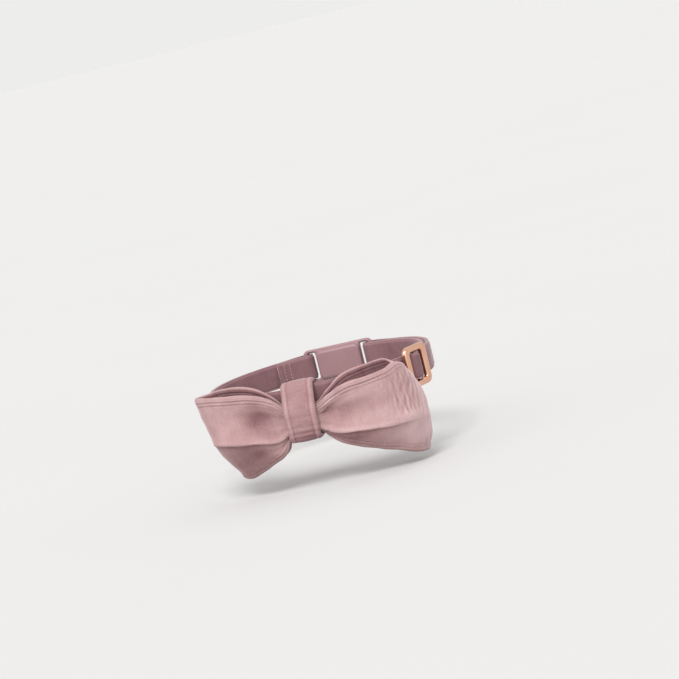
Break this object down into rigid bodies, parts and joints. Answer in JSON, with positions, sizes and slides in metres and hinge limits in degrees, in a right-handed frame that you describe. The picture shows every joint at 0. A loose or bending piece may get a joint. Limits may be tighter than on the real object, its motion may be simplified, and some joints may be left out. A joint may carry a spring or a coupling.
{
  "type": "cat collar",
  "caption": "Velvet cat collar: a ribbon strap with a soft folded bow gathered by a knot band, a rose-gold slide that sets the length and a plain clasp behind the neck.",
  "frame": {"origin": "centre of the neck loop at the middle of the strap's width", "axes": "+Z along the neck towards the head, -Y towards the bow at the front, +X to the right as seen from in front"},
  "size_m": [0.0889, 0.0969, 0.0392],
  "materials": {
    "strap_velvet": "dusty mauve velvet ribbon, short crushed nap",
    "bow_velvet": "dusty pink velvet, short crushed nap",
    "rose_gold": "polished rose-gold plating",
    "clasp_plastic": "plain dusty mauve plastic"
  },
  "bodies": {
    "root": {"strap": "strap_velvet", "bow_loop": "bow_velvet", "knot_band": "bow_velvet", "slider": "rose_gold", "clasp": "clasp_plastic"}
  },
  "joints": []
}
